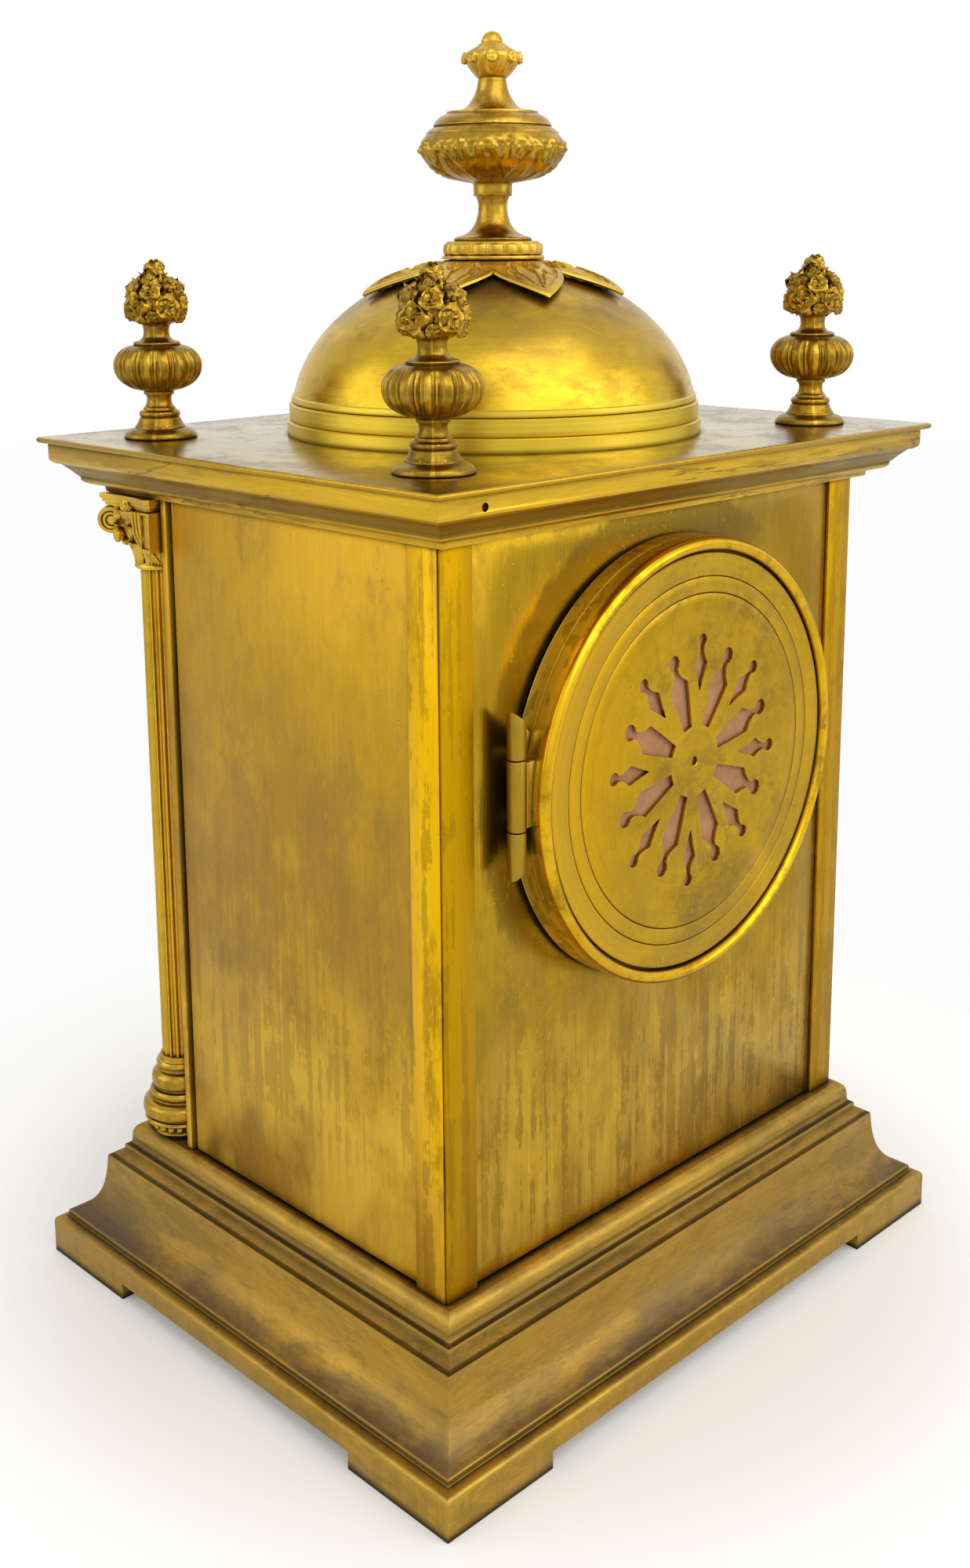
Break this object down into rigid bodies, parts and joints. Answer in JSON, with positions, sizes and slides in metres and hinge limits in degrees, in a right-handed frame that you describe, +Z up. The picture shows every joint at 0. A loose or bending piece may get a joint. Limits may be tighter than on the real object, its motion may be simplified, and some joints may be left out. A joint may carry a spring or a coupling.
{
  "type": "table clock",
  "caption": "Brass table clock with a domed top, four corner finials, two fluted front columns, a stepped plinth and a pierced round rear door.",
  "frame": {"origin": "on the table under the middle of the plinth", "axes": "+Z up, the dial faces -Y, the pierced round door is on the +Y back, +X along the width"},
  "size_m": [0.2, 0.167, 0.3436],
  "materials": {
    "gilt_sheet": "aged polished sheet brass, warm and lightly streaked",
    "olive_brass": "duller sheet and cast brass with olive tarnish",
    "cast_brass": "matt cast brass, dark in the recesses",
    "polished_brass": "bright spun brass",
    "movement_brass": "brushed plate brass",
    "steel": "bright steel",
    "blued_steel": "blued",
    "enamel": "white fired enamel",
    "cloth": "faded woven silk",
    "glass": "clear domed glass",
    "bell_metal": "silvered bell metal"
  },
  "bodies": {
    "case": {"plinth": "olive_brass", "front_plate": "gilt_sheet", "side_panel_left": "gilt_sheet", "side_panel_right": "gilt_sheet", "rear_corner_strip_left": "gilt_sheet", "rear_corner_strip_right": "gilt_sheet", "back_panel": "olive_brass", "cornice": "gilt_sheet", "top_plate": "olive_brass", "column_base_left": "cast_brass", "column_base_right": "cast_brass", "column_shaft_left": "gilt_sheet", "column_shaft_right": "gilt_sheet", "column_capital_left": "cast_brass", "column_capital_right": "cast_brass", "corner_finial_front_left": "cast_brass", "corner_finial_front_right": "cast_brass", "corner_finial_rear_left": "cast_brass", "corner_finial_rear_right": "cast_brass", "dome": "polished_brass", "dome_leaf_collar": "cast_brass", "finial_base_ring": "cast_brass", "finial_urn": "cast_brass", "finial_bud": "cast_brass", "dome_tie_bolt": "steel", "door_seat_ring": "olive_brass", "rear_door_hinge_pin": "steel", "bezel_seat_ring": "gilt_sheet", "front_bezel_hinge_pin": "steel", "dial": "enamel", "movement_front_plate": "movement_brass", "movement_back_plate": "movement_brass", "movement_strap_left": "movement_brass", "movement_strap_right": "movement_brass", "suspension_cock": "movement_brass", "bell": "bell_metal", "bell_stand": "movement_brass", "bell_nut": "movement_brass"},
    "rear_door": {"rear_door_rim": "gilt_sheet", "rear_door_disc": "olive_brass", "rear_door_cloth": "cloth"},
    "front_door": {"front_bezel": "gilt_sheet", "bezel_glass": "glass"},
    "centre_arbor": {"centre_wheel": "movement_brass", "minute_hand": "blued_steel"},
    "minute_wheel_body": {"minute_wheel": "movement_brass"},
    "hour_hand_body": {"hour_hand": "blued_steel"},
    "going_barrel_body": {"going_barrel": "movement_brass"},
    "going_winding": {"going_winding_arbor": "steel"},
    "third_wheel_body": {"third_wheel": "movement_brass"},
    "escape_wheel_body": {"escape_wheel": "movement_brass"},
    "pallets_and_crutch": {"pallet_arbor": "steel"},
    "pendulum": {"pendulum_rod": "steel", "pendulum_bob": "movement_brass", "rating_nut": "movement_brass"},
    "strike_barrel_body": {"strike_barrel": "movement_brass"},
    "strike_winding": {"strike_winding_arbor": "steel"},
    "pin_wheel_body": {"pin_wheel": "movement_brass"},
    "fly_body": {"fly": "movement_brass"},
    "hammer_body": {"hammer": "steel"}
  },
  "joints": [
    {"name": "rear_door_swing", "type": "hinge", "parent": "case", "child": "rear_door", "pos_m": [0.0603, 0.0671, 0.1605], "axis": [0, 0, -1], "range_deg": [0, 115]},
    {"name": "front_door_swing", "type": "hinge", "parent": "case", "child": "front_door", "pos_m": [0.06, -0.0461, 0.1605], "axis": [0, 0, 1], "range_deg": [0, 90]},
    {"name": "centre_arbor_turn", "type": "hinge", "parent": "case", "child": "centre_arbor", "pos_m": [0, -0.02, 0.1605], "axis": [0, 1, 0], "continuous": true},
    {"name": "minute_wheel_turn", "type": "hinge", "parent": "case", "child": "minute_wheel_body", "pos_m": [0, -0.034, 0.1485], "axis": [0, 1, 0], "continuous": true},
    {"name": "hour_hand_turn", "type": "hinge", "parent": "case", "child": "hour_hand_body", "pos_m": [0, -0.04, 0.1605], "axis": [0, 1, 0], "continuous": true},
    {"name": "going_barrel_turn", "type": "hinge", "parent": "case", "child": "going_barrel_body", "pos_m": [0.0206, -0.014, 0.149], "axis": [0, 1, 0], "continuous": true},
    {"name": "going_winding_turn", "type": "hinge", "parent": "case", "child": "going_winding", "pos_m": [0.0206, -0.03, 0.149], "axis": [0, 1, 0], "continuous": true},
    {"name": "third_wheel_turn", "type": "hinge", "parent": "case", "child": "third_wheel_body", "pos_m": [0.01073, -0.014, 0.17582], "axis": [0, 1, 0], "continuous": true},
    {"name": "escape_wheel_turn", "type": "hinge", "parent": "case", "child": "escape_wheel_body", "pos_m": [0, -0.014, 0.18482], "axis": [0, 1, 0], "continuous": true},
    {"name": "pendulum_swing", "type": "hinge", "parent": "case", "child": "pendulum", "pos_m": [0, 0.012, 0.1955], "axis": [0, 1, 0], "range_deg": [-3, 3]},
    {"name": "crutch_swing", "type": "hinge", "parent": "case", "child": "pallets_and_crutch", "pos_m": [0, 0.007, 0.1955], "axis": [0, 1, 0], "range_deg": [-3, 3]},
    {"name": "strike_barrel_turn", "type": "hinge", "parent": "case", "child": "strike_barrel_body", "pos_m": [-0.0206, -0.014, 0.149], "axis": [0, 1, 0], "continuous": true},
    {"name": "strike_winding_turn", "type": "hinge", "parent": "case", "child": "strike_winding", "pos_m": [-0.0206, -0.03, 0.149], "axis": [0, 1, 0], "continuous": true},
    {"name": "pin_wheel_turn", "type": "hinge", "parent": "case", "child": "pin_wheel_body", "pos_m": [-0.01732, -0.014, 0.17236], "axis": [0, 1, 0], "continuous": true},
    {"name": "fly_turn", "type": "hinge", "parent": "case", "child": "fly_body", "pos_m": [-0.01369, -0.014, 0.18589], "axis": [0, 1, 0], "continuous": true},
    {"name": "hammer_swing", "type": "hinge", "parent": "case", "child": "hammer_body", "pos_m": [-0.034, 0.0096, 0.1805], "axis": [0, 1, 0], "range_deg": [0, 6]}
  ],
  "couplings": [
    {"joint": "minute_wheel_turn", "follows": "centre_arbor_turn", "ratio": -0.33333},
    {"joint": "hour_hand_turn", "follows": "centre_arbor_turn", "ratio": 0.083333},
    {"joint": "going_barrel_turn", "follows": "centre_arbor_turn", "ratio": -0.2},
    {"joint": "third_wheel_turn", "follows": "centre_arbor_turn", "ratio": -7.5},
    {"joint": "escape_wheel_turn", "follows": "centre_arbor_turn", "ratio": 45},
    {"joint": "crutch_swing", "follows": "pendulum_swing", "ratio": 1},
    {"joint": "strike_barrel_turn", "follows": "pin_wheel_turn", "ratio": -0.2},
    {"joint": "fly_turn", "follows": "pin_wheel_turn", "ratio": -6}
  ]
}
